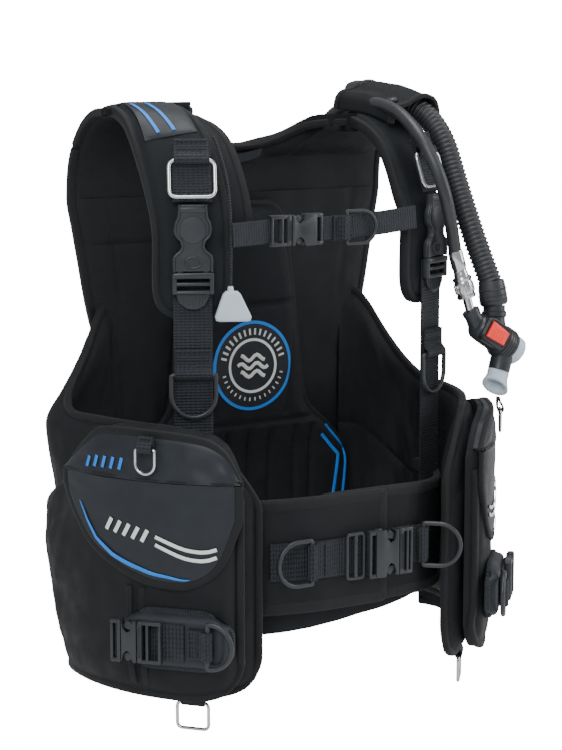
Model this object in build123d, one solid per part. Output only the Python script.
from build123d import *
import math
import os

# Buoyancy compensator vest, jacket style, size L.
# Frame: millimetres, +Z up. The origin is on the axis of the scuba cylinder, half way up
# the band that holds it. The wearer faces -Y, so +X is the wearer's left.

# ---- driving dimensions -------------------------------------------------------------
TANK_RADIUS = 92.0
BAND_HEIGHT = 50.0
BAND_THICKNESS = 2.5

FRONT_RADIUS = 200.0          # torso plan, the two front corners
FRONT_CENTRE_X = 26.0
REAR_RADIUS = 115.0           # torso plan, the two rear corners
REAR_CENTRE_X = 111.0
PLAN_CENTRE_Y = -215.0
LOBE_THICKNESS = 30.0
HEM_Z = -296.0

BACK_FRONT_Y = -135.0         # the air cell behind the wearer's back
BACK_REAR_Y = -110.0
BACK_SEAM_X = 148.0
NECK_RADIUS = 110.0
NECK_CENTRE_Z = 360.0

STRAP_X = 146.0               # shoulder straps, where they come down the chest
STRAP_Y = -300.0
STRAP_TURN = 25.0
PAD_WIDTH = 78.0
PAD_THICKNESS = 20.0
SHOULDER_TOP = {-1: 304.0, 1: 288.0}
SHOULDER_WIDTH = {-1: 78.0, 1: 60.0}
WEBBING_WIDTH = 40.0
WEBBING_THICKNESS = 2.2

POCKET_DEPTH = {-1: 36.0, 1: 16.0}
FLAP_THICKNESS = 5.0
CLEAR = 0.5                   # free space between neighbouring soft pieces

PAD_BEND_Z = 178.0
PAD_END_Z = 88.0
CUMMERBUND_OFFSET = -LOBE_THICKNESS - CLEAR
CUMMERBUND_THICKNESS = 7.0
CUMMERBUND_Z = (-210.0, -92.0)
POCKET_BOTTOM_Z = -286.0
LOBE_FRONT_ANGLE = 28.0
FLAP_BOTTOM_Z = -178.0
FLAP_SEAM_Z = -61.5
POCKET_TOP_Z = {-1: -12.0, 1: -26.0}
FLAP_ANGLES = (33.0, 88.0)
POUCH_ANGLE = 49.0
POUCH_Z = -219.0
POUCH_LENGTH = 120.0
POUCH_HEIGHT = 62.0
POUCH_THICKNESS = 14.0

SOCKET_END_Z = 137.0
LADDER_Z = 115.0
STRAP_END_Z = -30.0
UPPER_STRAP_Z = 210.0
UPPER_STRAP_LEAN = 18.0
SHOULDER_RING_UP = 38.0
STRAP_RING_Z = 32.0
SHOULDER_RING_OUT = 6.4         # from the strap's face to the middle of the ring's wire
STRAP_RING_OUT = 6.6
CHEST_Y = -321.0
CHEST_Z = 175.0
CHEST_WIDTH = 25.0
CHEST_BUCKLE_X = (-69.0, -6.0)
CHEST_RING_X = 22.0
WAIST_OFFSET = CUMMERBUND_OFFSET + CLEAR
WAIST_Z = -156.0
WAIST_SLIDER_X = -8.0
WAIST_BUCKLE_X = (5.0, 59.0)
WAIST_RING_X = {-1: -60.0, 1: 82.0}
WAIST_RING_LEAN = {-1: 0.0, 1: -42.0}
POCKET_RING_ANGLE = 56.0
POCKET_RING_OUT = {-1: 46.0, 1: 26.0}
POCKET_RING_DROP = {-1: 17.0, 1: 5.0}
HEM_RING_ANGLE = 50.0
BAND_FLAT_X = 42.0
BAND_FLAT_Y = -107.0
CAM_PIN = (24.0, 116.0)
SADDLE_X = 92.0
SADDLE_Y = (-104.0, -80.0)
SADDLE_Z = (-90.0, 190.0)       # the saddle that the cylinder rests in
HANDLE_TOP_Z = 237.0
HANDLE_HALF_GAP = 48.0

CORRUGATED_DIAMETER = 26.0
LP_DIAMETER = 14.0
PULL_CORD_DIAMETER = 3.0
THREAD_RADIUS = 4.75

SIDES = {-1: "right", 1: "left"}

os.makedirs("parts", exist_ok=True)


def save(shape, node):
    export_step(shape, "parts/" + node + ".step")


def group(solids):
    return Compound(children=list(solids))


# ---- general shapes -----------------------------------------------------------------
def block(low, high):
    size = [high[i] - low[i] for i in range(3)]
    middle = [(high[i] + low[i]) / 2 for i in range(3)]
    return Pos(*middle) * Box(*size)


def prism_x(outline, low, high):
    """A closed (y, z) outline drawn out along X."""
    face = make_face(Polyline([(0, y, z) for y, z in outline], close=True))
    return Pos(low, 0, 0) * extrude(face, high - low, dir=(1, 0, 0))


def prism_y(outline, low, high):
    """A closed (x, z) outline drawn out along Y."""
    face = make_face(Polyline([(x, 0, z) for x, z in outline], close=True))
    return Pos(0, low, 0) * extrude(face, high - low, dir=(0, 1, 0))


def prism_z(outline, low, high):
    """A closed (x, y) outline drawn out along Z."""
    face = make_face(Polyline([(x, y, 0) for x, y in outline], close=True))
    return Pos(0, 0, low) * extrude(face, high - low, dir=(0, 0, 1))


def rod(start, end, radius):
    """A round rod between two points."""
    axis = Vector(*end) - Vector(*start)
    plane = Plane(origin=start, z_dir=axis)
    return plane * Cylinder(radius, axis.length, align=(Align.CENTER, Align.CENTER, Align.MIN))


def hose(points, diameter):
    """A tube along straight runs joined by arcs, each as large as its two runs allow."""
    corners = [Vector(*p) for p in points]
    radii = []
    for before, here, after in zip(corners, corners[1:], corners[2:]):
        into = here - before
        out_of = after - here
        half_turn = math.radians(into.get_angle(out_of)) / 2
        radii.append(0.45 * min(into.length, out_of.length) / math.tan(half_turn))
    path = FilletPolyline(*points, radius=radii)
    start = Plane(origin=path @ 0, z_dir=path % 0)
    tube = sweep(start * Circle(diameter / 2), path=path)
    share = tube.volume / (math.pi * diameter ** 2 / 4 * path.length)
    print("radii", [round(r) for r in radii], "length", round(path.length), "volume", round(share, 3))
    return tube


# ---- torso plan ---------------------------------------------------------------------
def torso_outline(offset):
    """The plan of the vest at the waist, moved outwards by an offset."""
    front_r = FRONT_RADIUS + offset
    rear_r = REAR_RADIUS + offset
    y0 = PLAN_CENTRE_Y
    diagonal = math.sqrt(0.5)
    side = FRONT_CENTRE_X + front_r
    with BuildSketch() as sketch:
        with BuildLine():
            Line((0, y0 - front_r), (FRONT_CENTRE_X, y0 - front_r))
            ThreePointArc(
                (FRONT_CENTRE_X, y0 - front_r),
                (FRONT_CENTRE_X + front_r * diagonal, y0 - front_r * diagonal),
                (side, y0),
            )
            ThreePointArc(
                (side, y0),
                (REAR_CENTRE_X + rear_r * diagonal, y0 + rear_r * diagonal),
                (REAR_CENTRE_X, y0 + rear_r),
            )
            Line((REAR_CENTRE_X, y0 + rear_r), (0, y0 + rear_r))
            mirror(about=Plane.YZ)
        make_face()
    return sketch.sketch


def torso_band(inner, outer, low, high):
    ring = torso_outline(outer) - torso_outline(inner)
    return Pos(0, 0, low) * extrude(ring, high - low)


def torso_point(side, angle, offset):
    """A point of the plan; the angle is 0 at the front and 90 at the side."""
    turn = math.radians(angle)
    if angle <= 90:
        centre, radius = FRONT_CENTRE_X, FRONT_RADIUS
    else:
        centre, radius = REAR_CENTRE_X, REAR_RADIUS
    x = centre + (radius + offset) * math.sin(turn)
    return side * x, PLAN_CENTRE_Y - (radius + offset) * math.cos(turn)


def torso_sector(side, first, last, low, high):
    """The part of the space round the torso between two angles, on one side."""
    reach = 150
    corners = [(side * FRONT_CENTRE_X, PLAN_CENTRE_Y)]
    steps = 8
    for i in range(steps + 1):
        corners.append(torso_point(side, first + (last - first) * i / steps, reach))
    if last > 90:
        corners.append((side * REAR_CENTRE_X, PLAN_CENTRE_Y))
    return prism_z(corners, low, high)


def torso_plane(side, angle, offset, z):
    """Local frame on the torso's surface: x to the wearer's left, y up, z outwards."""
    turn = math.radians(angle)
    x, y = torso_point(side, angle, offset)
    outwards = (side * math.sin(turn), -math.cos(turn), 0)
    return Plane(
        origin=(x, y, z),
        x_dir=(math.cos(turn), side * math.sin(turn), 0),
        z_dir=outwards,
    )


def upper_strap_plane(side):
    """The strap's outer face above the buckle, where it leans back towards the shoulder."""
    return strap_plane(side, UPPER_STRAP_Z) * Rot(-UPPER_STRAP_LEAN, 0, 0)


def strap_plane(side, z, forward=0.0):
    """Local frame on a shoulder strap's outer face: x to the wearer's left, y up, z outwards."""
    turn = math.radians(STRAP_TURN)
    outwards = Vector(side * math.sin(turn), -math.cos(turn), 0)
    origin = Vector(side * STRAP_X, STRAP_Y, z) + outwards * forward
    return Plane(origin=origin, x_dir=(math.cos(turn), side * math.sin(turn), 0), z_dir=outwards)


# ---- soft body ----------------------------------------------------------------------
LOBE_TOP = [
    (-95, 62), (-130, 60), (-157, 40), (-180, 0), (-215, -16), (-309, -14), (-361, -22),
    (-379, -62), (-388, -92),
]
LOBE_HEM = [(-388, -256), (-381, -280), (-362, -292), (-329, HEM_Z), (-95, HEM_Z)]
BACK_HALF = [
    (0, HEM_Z), (BACK_SEAM_X, HEM_Z), (BACK_SEAM_X, 62), (183, 72), (197, 110), (199, 199), (0, 199),
]
LUMBAR_HALF = [(0, -284), (118, -284), (132, -120), (101, -64), (0, -58)]
BACK_PAD_HALF = [(0, -57), (100, -57), (87, -34), (77, 46), (66, 137), (54, 188), (0, 188)]
BACK_PAD_FRONT_Y = -172.0
LUMBAR_FRONT_Y = -162.0


def both_halves(half):
    return half + [(-x, z) for x, z in reversed(half) if x > 0]


def make_air_cell():
    return prism_y(both_halves(BACK_HALF), BACK_FRONT_Y, BACK_REAR_Y)


def make_lobe(side):
    band = torso_band(-LOBE_THICKNESS, 0, HEM_Z, 70)
    region = prism_x(LOBE_TOP + LOBE_HEM, 0, 300)
    region -= block((0, -150, -400), (BACK_SEAM_X + CLEAR, 0, 100))
    if side < 0:
        region = mirror(region, about=Plane.YZ)
    return band & region & torso_sector(side, LOBE_FRONT_ANGLE, 180, HEM_Z, 70)


def make_yoke():
    """The panel that leans forward over the shoulders, with the neck cut out of it."""
    halves = []
    for side in SIDES:
        top = SHOULDER_TOP[side]
        outline = [
            (-105, 200), (-109, 235), (-138, top - 22), (-172, top - 3), (-204, top),
            (-204, top - PAD_THICKNESS), (-180, top - 23), (-160, top - 40), (-140, 232), (-135, 200),
        ]
        low, high = (0, 190) if side > 0 else (-190, 0)
        halves.append(prism_x(outline, low, high))
    yoke = halves[0] + halves[1]
    neck = Pos(0, -150, NECK_CENTRE_Z) * Rot(90, 0, 0) * Cylinder(NECK_RADIUS, 200)
    yoke -= neck + block((-104, -220, 215), (104, -172, 400))
    return yoke - make_shoulder_valve() - make_shoulder_elbow()


def make_shoulder_pad(side):
    """From the top of the shoulder forward and down the chest, to a rounded end."""
    middle_z = SHOULDER_TOP[side] - PAD_THICKNESS / 2
    chest = strap_plane(side, PAD_BEND_Z, -PAD_THICKNESS / 2)
    stations = [
        # x, y, z of the middle, turn about Z, lean of the outer face from level
        (STRAP_X, -204.5, middle_z, 0, 0),
        (STRAP_X, -234, middle_z - 12, 6, 24),
        (STRAP_X, -261, middle_z - 36, 13, 50),
        (STRAP_X - 2, -281, middle_z - 76, 20, 70),
        (side * chest.origin.X, chest.origin.Y, PAD_BEND_Z, STRAP_TURN, 90),
    ]
    narrow = PAD_WIDTH - SHOULDER_WIDTH[side]
    sections = []
    for x, y, z, turn, lean in stations:
        cut = 0 if lean == 90 else narrow
        turn = math.radians(turn)
        lean = math.radians(lean)
        across = Vector(math.cos(turn), side * math.sin(turn), 0)
        level = Vector(side * math.sin(turn), -math.cos(turn), 0)
        outwards = level * math.sin(lean) + Vector(0, 0, math.cos(lean))
        centre = Vector(side * (x - cut / 2), y, z)
        plane = Plane(origin=centre, x_dir=across, z_dir=across.cross(outwards))
        sections.append(plane * Rectangle(PAD_WIDTH - cut, PAD_THICKNESS))
    upper = loft(sections, ruled=True)
    drop = PAD_BEND_Z - PAD_END_Z
    lower = Pos(0, -drop / 2, 0) * Box(PAD_WIDTH, drop, PAD_THICKNESS)
    lower = fillet(lower.edges().filter_by(Axis.Z).group_by(Axis.Y)[0], PAD_WIDTH * 0.4)
    return upper + chest * lower


def make_cummerbund(side):
    """One wing; the left wing's end lies behind the right one's at the front."""
    outer = CUMMERBUND_OFFSET if side < 0 else CUMMERBUND_OFFSET - CUMMERBUND_THICKNESS - CLEAR
    band = torso_band(outer - CUMMERBUND_THICKNESS, outer, *CUMMERBUND_Z)
    low, high = (-300, 36) if side < 0 else (-36, 300)
    keep = block((low, -600, -300), (high, -190, 0))
    return band & keep


def make_pocket(side):
    """The bag, with the fixed strip above the flap's seam."""
    depth = POCKET_DEPTH[side]
    bag = torso_band(CLEAR, depth, POCKET_BOTTOM_Z, FLAP_SEAM_Z)
    bag &= torso_sector(side, 33, 112, POCKET_BOTTOM_Z, FLAP_SEAM_Z)
    strip = torso_band(CLEAR, depth + CLEAR + FLAP_THICKNESS, FLAP_SEAM_Z, POCKET_TOP_Z[side])
    strip &= torso_sector(side, *FLAP_ANGLES, FLAP_SEAM_Z, POCKET_TOP_Z[side])
    return bag + strip


def make_flap(side):
    """A curved panel that hangs from the seam, with its lower corners cut away."""
    inner = POCKET_DEPTH[side] + CLEAR
    top = FLAP_SEAM_Z - CLEAR
    band = torso_band(inner, inner + FLAP_THICKNESS, FLAP_BOTTOM_Z, top)
    flap = band & torso_sector(side, *FLAP_ANGLES, FLAP_BOTTOM_Z, top)
    corners = prism_x([(-440, -125), (-440, -190), (-372, -190), (-415, -150)], -300, 300)
    corners += prism_x([(-300, -190), (-190, -190), (-190, -95), (-240, -110)], -300, 300)
    return flap - corners


# ---- what sits on the pocket --------------------------------------------------------
def pouch_plane(side):
    return torso_plane(side, POUCH_ANGLE, POCKET_DEPTH[side] + CLEAR, POUCH_Z)


def make_pouch(side):
    plate = extrude(RectangleRounded(POUCH_LENGTH, POUCH_HEIGHT, 14), POUCH_THICKNESS)
    return pouch_plane(side) * plate


# ---- webbing and buckles ------------------------------------------------------------
def chest_strip(low_x, high_x):
    low = (low_x, CHEST_Y - 1.6, CHEST_Z - CHEST_WIDTH / 2)
    return block(low, (high_x, CHEST_Y, CHEST_Z + CHEST_WIDTH / 2))


def make_webbing():
    """All the flat webbing that is sewn to the vest, as separate strips."""
    half = WEBBING_WIDTH / 2
    strips = []
    for side in SIDES:
        upper = block((-half, 0, 0.4), (half, 52, 0.4 + WEBBING_THICKNESS))
        strips.append(upper_strap_plane(side) * upper)
        lower = block((-half, STRAP_END_Z, 0.4), (half, SOCKET_END_Z, 0.4 + WEBBING_THICKNESS))
        strips.append(strap_plane(side, 0) * lower)
    strips.append(chest_strip(-110, CHEST_BUCKLE_X[0] - CLEAR))
    strips.append(chest_strip(CHEST_BUCKLE_X[1] + CLEAR, 110))
    height = WEBBING_WIDTH / 2
    belt = torso_band(WAIST_OFFSET, WAIST_OFFSET + WEBBING_THICKNESS, WAIST_Z - height, WAIST_Z + height)
    for low, high in ((-100, WAIST_BUCKLE_X[0] - CLEAR), (WAIST_BUCKLE_X[1] + CLEAR, 100)):
        strips.append(belt & block((low, -500, -300), (high, -300, 0)))
    return group(strips)


def make_shoulder_socket():
    """A paddle: a round head, a neck, and a broad body that the clip snaps into."""
    paddle = extrude(Pos(0, 178) * Circle(19), 9)
    paddle += block((-12, 150, 0), (12, 178, 9))
    paddle += block((-15, 178, 0), (15, 205, 7))
    paddle += block((-21, SOCKET_END_Z, 0), (21, 154, 9))
    paddle -= block((-11, 197.5, -1), (11, 201.5, 10))
    paddle -= block((-18, SOCKET_END_Z - 1, 2), (18, 156, 7))
    return paddle


def make_shoulder_clip():
    """Two prongs, a base, a ladder for the webbing and a ribbed thumb tab."""
    clip = block((-21, LADDER_Z, 0), (21, SOCKET_END_Z - 0.6, 9))
    for edge in (-1, 1):
        clip += Pos(edge * 13, SOCKET_END_Z + 6, 4.5) * Box(6, 16, 4)
    clip += extrude(Pos(0, LADDER_Z) * Circle(17), 5) & block((-20, LADDER_Z - 17, 0), (20, LADDER_Z, 5))
    for low, high in ((LADDER_Z + 13, LADDER_Z + 17.5), (LADDER_Z + 3.5, LADDER_Z + 9)):
        clip -= block((-17, low, -1), (17, high, 10))
    return clip


def side_release(width, length, thickness, split):
    """A side-release buckle lying along x: a socket, and the clip that snaps into it."""
    wall = thickness * 0.22
    half = length / 2
    mouth = -half + split
    socket = Pos(-half + split / 2, 0, 0) * Box(split, width, thickness)
    socket -= Pos(mouth, 0, 0) * Box(2 * (split - 12), width - 5, thickness - 2 * wall)
    socket -= Pos(-half + 6, 0, 0) * Box(4.5, width - 9, thickness + 2)
    socket -= Pos(mouth - 9, 0, 0) * Box(9, width + 2, thickness - 2 * wall)
    base = Pos((mouth + 0.6 + half) / 2, 0, 0) * Box(half - mouth - 0.6, width, thickness)
    clip = base - Pos(half - 6, 0, 0) * Box(4.5, width - 9, thickness + 2)
    reach = split - 14
    prong = Box(reach + 3, width * 0.16, thickness - 2 * wall - 0.8)
    for across in (-0.31, 0, 0.31):
        clip += Pos(mouth - reach / 2 + 1.5, across * width, 0) * prong
    return socket, clip


def slider(width, height, thickness):
    """A webbing slider: a frame with a bar across its middle, along y."""
    frame = Pos(0, 0, -thickness / 2) * extrude(RectangleRounded(width, height, 4), thickness)
    gap = (width - 10) / 2
    for way in (-1, 1):
        frame -= Pos(way * (gap / 2 + 2), 0, 0) * Box(gap, height - 8, 3 * thickness)
    return frame


def ring(width, height, wire, corner):
    """A ring that hangs down along -y from the bar on its origin, along x."""
    outer = RectangleRounded(width, height, corner)
    inner = RectangleRounded(width - 2 * wire, height - 2 * wire, max(corner - wire, 1.2))
    return Pos(0, wire / 2 - height / 2, -wire / 2) * extrude(outer - inner, wire)


def nosed_ring(width, height, wire):
    """A ring with a straight bar on its origin and a half-round nose, down along -y."""
    def half_round(inset):
        radius = width / 2 - inset
        top = wire / 2 - inset
        nose = width / 2 + wire / 2 - height
        straight = Pos(0, (top + nose) / 2) * Rectangle(2 * radius, top - nose)
        below = Pos(0, top - width) * Rectangle(2 * width, 2 * width)
        return straight + (below & (Pos(0, nose) * Circle(radius)))
    return Pos(0, 0, -wire / 2) * extrude(half_round(0) - half_round(wire), wire)


def turned(plane, around_normal=0.0, lean=0.0):
    """A local frame turned in its own plane, then leaned about its new x axis."""
    return plane * Rot(0, 0, around_normal) * Rot(lean, 0, 0)


# ---- rings on the vest --------------------------------------------------------------
def make_rings():
    rings = {}
    for side, name in SIDES.items():
        steel = upper_strap_plane(side) * Pos(0, SHOULDER_RING_UP, SHOULDER_RING_OUT)
        rings["shoulder_ring_" + name] = steel * ring(50, 42, 4.5, 9)
        plastic = strap_plane(side, STRAP_RING_Z, STRAP_RING_OUT)
        rings["strap_ring_" + name] = plastic * nosed_ring(50, 48, 5)
        ring_z = POCKET_TOP_Z[side] - POCKET_RING_DROP[side]
        pocket = torso_plane(side, POCKET_RING_ANGLE, POCKET_RING_OUT[side], ring_z)
        rings["pocket_ring_" + name] = pocket * nosed_ring(24, 27, 3)
        hem = torso_plane(side, HEM_RING_ANGLE, -LOBE_THICKNESS / 2, HEM_Z - 4)
        rings["hem_ring_" + name] = hem * ring(38, 32, 4, 7)
    chest = Plane(origin=(CHEST_RING_X, CHEST_Y - 5.5, CHEST_Z), x_dir=(1, 0, 0), z_dir=(0, -1, 0))
    rings["chest_ring"] = turned(chest, 90) * nosed_ring(38, 40, 4)
    for side, name in SIDES.items():
        bar_x = WAIST_RING_X[side]
        front = Plane(origin=(bar_x, waist_y(bar_x) - 6.5, WAIST_Z), x_dir=(1, 0, 0), z_dir=(0, -1, 0))
        rings["waist_ring_" + name] = turned(front, side * 90, WAIST_RING_LEAN[side]) * nosed_ring(50, 44, 5)
    return rings


def waist_y(x):
    """The waist belt's outer face at one x, on the front of the torso plan."""
    radius = FRONT_RADIUS + WAIST_OFFSET + WEBBING_THICKNESS
    past = max(abs(x) - FRONT_CENTRE_X, 0)
    return PLAN_CENTRE_Y - math.sqrt(radius ** 2 - past ** 2)


# ---- what lies behind the back ------------------------------------------------------
def make_backpack():
    low = (-SADDLE_X, SADDLE_Y[0], SADDLE_Z[0])
    saddle = block(low, (SADDLE_X, SADDLE_Y[1], SADDLE_Z[1]))
    saddle -= Cylinder(TANK_RADIUS, 600)
    for side in SIDES:
        low, high = sorted((side * 38, side * 82))
        saddle -= block((low, -120, -29), (high, -70, 29))
        saddle -= block((low, -120, 70), (high, -70, 150))
    return saddle


def band_outline(offset):
    """The band's path in plan: round the cylinder, and flat in front of the saddle."""
    radius = TANK_RADIUS + offset
    reach = math.hypot(BAND_FLAT_X, BAND_FLAT_Y)
    turn = math.atan2(BAND_FLAT_Y, BAND_FLAT_X) + math.acos(TANK_RADIUS / reach)
    out = Vector(math.cos(turn), math.sin(turn))
    touch = out * radius
    flat_y = BAND_FLAT_Y - offset
    along = Vector(-out.Y, out.X)
    corner = touch - along * ((touch.Y - flat_y) / along.Y)
    with BuildSketch() as sketch:
        with BuildLine():
            ThreePointArc((touch.X, touch.Y), (0, radius), (-touch.X, touch.Y))
            Polyline((-touch.X, touch.Y), (-corner.X, flat_y), (corner.X, flat_y), (touch.X, touch.Y))
        make_face()
    return sketch.sketch


def make_band():
    loop = band_outline(BAND_THICKNESS) - band_outline(0)
    return Pos(0, 0, -BAND_HEIGHT / 2) * extrude(loop, BAND_HEIGHT)


def make_cam_buckle():
    """Base plate on the band, a lever hinged on a pin along Z, at the cylinder's far side."""
    outer = TANK_RADIUS + BAND_THICKNESS + 0.3
    base = block((-32, 60, -27), (32, outer + 9, 27)) - Cylinder(outer, 200)
    base &= block((-32, 80, -27), (32, 200, 27))
    pin_x, pin_y = CAM_PIN
    for way in (-1, 1):
        ear = block((pin_x - 7, outer + 5, way * 24 - 3), (pin_x + 7, pin_y + 6, way * 24 + 3))
        base += ear
    base -= Pos(pin_x, pin_y, 0) * Cylinder(3.05, 80)
    lever = block((-30, pin_y - 4, -20), (pin_x, pin_y + 4, 20))
    lever += Pos(pin_x, pin_y, 0) * Cylinder(5.5, 40)
    lever -= Pos(pin_x, pin_y, 0) * Cylinder(3.05, 80)
    lever -= block((-22, pin_y - 10, -12), (-16, pin_y + 10, 12))
    pin = Pos(pin_x, pin_y, 0) * Cylinder(3, 56)
    return base, lever, pin


def make_carry_handle():
    front, rear = -104.5, -93.5
    half = HANDLE_HALF_GAP
    grip = block((-half, front, HANDLE_TOP_Z - 15), (half, rear, HANDLE_TOP_Z))
    for way in (-1, 1):
        low, high = sorted((way * half, way * (half + 12)))
        grip += block((low, front, SADDLE_Z[1]), (high, rear, HANDLE_TOP_Z))
    return grip


# ---- inflator and hoses -------------------------------------------------------------
CORRUGATED_ROUTE = [
    (153, -168, 308), (163, -207, 304), (176, -241, 291), (188, -271, 262), (194, -292, 218),
    (201, -311, 170), (207, -321, 131), (210.5, -326, 104),
]
LP_ROUTE = [
    (166, -319, 142), (151, -330, 184), (137, -328, 229), (130, -302, 267), (131, -259, 292),
    (131, -214, 299), (128, -172, 297), (125, -134, 283), (122, -106, 252), (119, -93, 210),
    (117, -92, 162), (118, -90, 112), (117, -91, 62), (118, -90, 24),
]
PULL_ROUTE = [
    (-107, -276, 270), (-107.5, -301, 240), (-111, -317, 198), (-114, -322.5, 152), (-114, -321, 106),
]
BARREL = [(183, -334, 64), (232, -336, 33)]
CUFF = [(210.6, -326.1, 103.5), (212.5, -328.5, 82)]
COUPLING = [(166.2, -319.1, 141.4), (180, -329, 78)]


def along(line, share):
    start, end = Vector(*line[0]), Vector(*line[1])
    point = start + (end - start) * share
    return point.X, point.Y, point.Z


def make_inflator():
    parts = {}
    barrel = rod(*BARREL, 15)
    barrel += rod(along(BARREL, 0.62), along(BARREL, 1), 18)
    barrel += rod((211, -331, 50), CUFF[1], 12)
    barrel += rod((190, -333, 58), along(COUPLING, 0.985), 9)
    mouth_neck = rod((221, -336, 36), (213, -338, 12), 12)
    barrel += mouth_neck
    press = Plane(origin=(200, -343, 54), x_dir=(0.845, 0, -0.535), z_dir=(0, -1, 0))
    face = block((-17, -14, -4), (17, 14, 8))
    barrel += press * face
    pocket = block((-13.5, -10.5, -0.4 + 3.4), (13.5, 10.5, 20))
    button = block((-13, -10, 0.4 + 7.2), (13, 10, 12.5))
    parts["inflate_button"] = press * button
    barrel -= press * pocket
    end = Plane(origin=along(BARREL, 1), z_dir=Vector(*BARREL[1]) - Vector(*BARREL[0]))
    barrel -= end * Pos(0, 0, -6) * Cylinder(15.4, 20, align=(Align.CENTER, Align.CENTER, Align.MIN))
    cap = end * Pos(0, 0, -0.8) * Cylinder(15, 9, align=(Align.CENTER, Align.CENTER, Align.MIN))
    parts["deflate_button"] = cap
    bore = rod((214, -337.7, 15), (209, -339, 0), 6.5)
    barrel -= bore
    parts["inflator_housing"] = barrel
    lip = Plane(origin=(212.9, -338.02, 11.7), x_dir=(1, 0, 0), z_dir=(-8, -2, -24))
    mouthpiece = extrude(Ellipse(15, 11.5) - Ellipse(9.5, 6.2), 20)
    parts["mouthpiece"] = lip * mouthpiece
    parts["hose_cuff"] = rod(*CUFF, 15.5)
    parts["hose_coupler"] = rod(COUPLING[0], along(COUPLING, 0.52), 7.5)
    parts["coupler_nipple"] = rod(along(COUPLING, 0.53), along(COUPLING, 0.98), 5)
    collar = rod(along(COUPLING, 0.42), along(COUPLING, 0.78), 11)
    parts["coupler_collar"] = collar - rod(COUPLING[0], COUPLING[1], 7.6)
    return parts


def make_lp_fitting():
    """The swaged end of the low-pressure hose, with its threaded stub."""
    x, y, top = LP_ROUTE[-1]
    body = rod((x, y, top), (x, y, top - 32), 9)
    return body + rod((x, y, top - 32), (x, y, top - 44), THREAD_RADIUS)


def make_shoulder_elbow():
    elbow = rod((150, -150, 282), (150, -150, 308.4), 14)
    return elbow + rod((150, -150, 308.4), CORRUGATED_ROUTE[0], 14)


def make_shoulder_valve():
    return Pos(-150, -124, 245) * Rot(90 + 24, 0, 0) * Cylinder(22, 14)


def make_knob():
    """The knob on the end of the shoulder valve's cord, with a hole for the cord."""
    outline = [(27, 118), (49, 118), (60, 98), (56, 86), (24, 86), (22, 98)]
    face = make_face(Polyline([(x, z, 0) for x, z in outline], close=True))
    knob = strap_plane(-1, 0, 0.5) * extrude(face, 10, dir=(0, 0, 1))
    hole_end = Vector(*PULL_ROUTE[-1]) - Vector(0, 0, 3)
    return knob - rod(tuple(hole_end), (hole_end.X, hole_end.Y, 130), PULL_CORD_DIAMETER / 2 + 0.8)


# ---- all the nodes ------------------------------------------------------------------
save(make_air_cell(), "back_air_cell")
save(make_yoke(), "yoke")
save(group([make_shoulder_pad(side) for side in SIDES]), "shoulder_pads")
lumbar_pad = prism_y(both_halves(LUMBAR_HALF), LUMBAR_FRONT_Y, BACK_FRONT_Y - CLEAR)
back_pad = prism_y(both_halves(BACK_PAD_HALF), BACK_PAD_FRONT_Y, BACK_FRONT_Y - CLEAR)
save(group([lumbar_pad, back_pad]), "back_pads")
for side, name in SIDES.items():
    save(make_lobe(side), "side_lobe_" + name)
    save(make_cummerbund(side), "cummerbund_" + name)
    save(make_pocket(side), "pocket_" + name)
    save(make_flap(side), "pocket_flap_" + name)
    save(make_pouch(side), "weight_pouch_" + name)
save(make_webbing(), "webbing")
for name, shape in make_rings().items():
    save(shape, name)

socket = Pos(0, 0, 3) * make_shoulder_socket()
clip = Pos(0, 0, 3) * make_shoulder_clip()
save(group([strap_plane(side, 0) * socket for side in SIDES]), "shoulder_sockets")
save(group([strap_plane(side, 0) * clip for side in SIDES]), "shoulder_clips")

chest_length = CHEST_BUCKLE_X[1] - CHEST_BUCKLE_X[0]
chest_middle = (CHEST_BUCKLE_X[0] + CHEST_BUCKLE_X[1]) / 2
chest = Plane(origin=(chest_middle, CHEST_Y - 0.8, CHEST_Z), x_dir=(-1, 0, 0), z_dir=(0, 1, 0))
chest_socket, chest_clip = side_release(33, chest_length, 10, 38)
save(chest * chest_socket, "chest_socket")
save(chest * chest_clip, "chest_clip")

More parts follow.
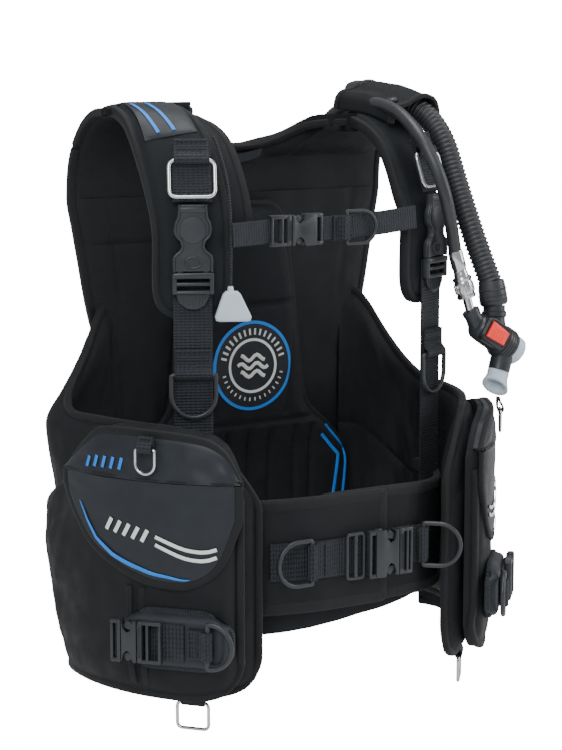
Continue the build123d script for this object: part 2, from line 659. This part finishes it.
waist_length = WAIST_BUCKLE_X[1] - WAIST_BUCKLE_X[0]
waist_middle = (WAIST_BUCKLE_X[0] + WAIST_BUCKLE_X[1]) / 2
waist = Plane(origin=(waist_middle, waist_y(waist_middle) - 7, WAIST_Z), x_dir=(1, 0, 0), z_dir=(0, -1, 0))
waist_socket, waist_clip = side_release(50, waist_length, 11, 36)
save(waist * waist_socket, "waist_socket")
save(waist * waist_clip, "waist_clip")
slider_plane = Plane(origin=(WAIST_SLIDER_X, waist_y(0) - 4, WAIST_Z), x_dir=(1, 0, 0), z_dir=(0, -1, 0))
save(slider_plane * slider(24, 50, 4), "waist_slider")

pouch_sockets = []
for side, name in SIDES.items():
    face = pouch_plane(side) * Pos(0, 0, POUCH_THICKNESS)
    pouch_socket, pouch_clip = side_release(44, 54, 9, 28)
    along_x = Rot(0, 0, 0 if side < 0 else 180)
    buckle = face * along_x * Pos(-36, 0, 6)
    pouch_sockets.append(buckle * pouch_socket)
    save(buckle * pouch_clip, "pouch_clip_" + name)
    handle = face * Pos(-side * 38, 0, 5) * Rot(0, 0, 90 if side < 0 else -90)
    save(handle * nosed_ring(50, 30, 5), "pouch_handle_" + name)
save(group(pouch_sockets), "pouch_sockets")

save(make_backpack(), "backpack_saddle")
save(make_band(), "tank_band")
cam_base, cam_lever, cam_pin = make_cam_buckle()
save(cam_base, "cam_base")
save(cam_lever, "cam_lever")
save(cam_pin, "cam_pin")
save(make_carry_handle(), "carry_handle")

for name, shape in make_inflator().items():
    save(shape, name)
save(make_shoulder_elbow(), "shoulder_elbow")
save(hose(CORRUGATED_ROUTE, CORRUGATED_DIAMETER), "corrugated_hose")
save(hose(LP_ROUTE, LP_DIAMETER), "lp_hose")
save(make_lp_fitting(), "lp_fitting")
sleeve_top = SHOULDER_TOP[1]
save(block((120, -243, sleeve_top + 1), (184, -171, sleeve_top + 34)), "hose_sleeve")

save(make_shoulder_valve(), "shoulder_valve")
save(hose(PULL_ROUTE, PULL_CORD_DIAMETER), "pull_cord")
save(make_knob(), "pull_knob")
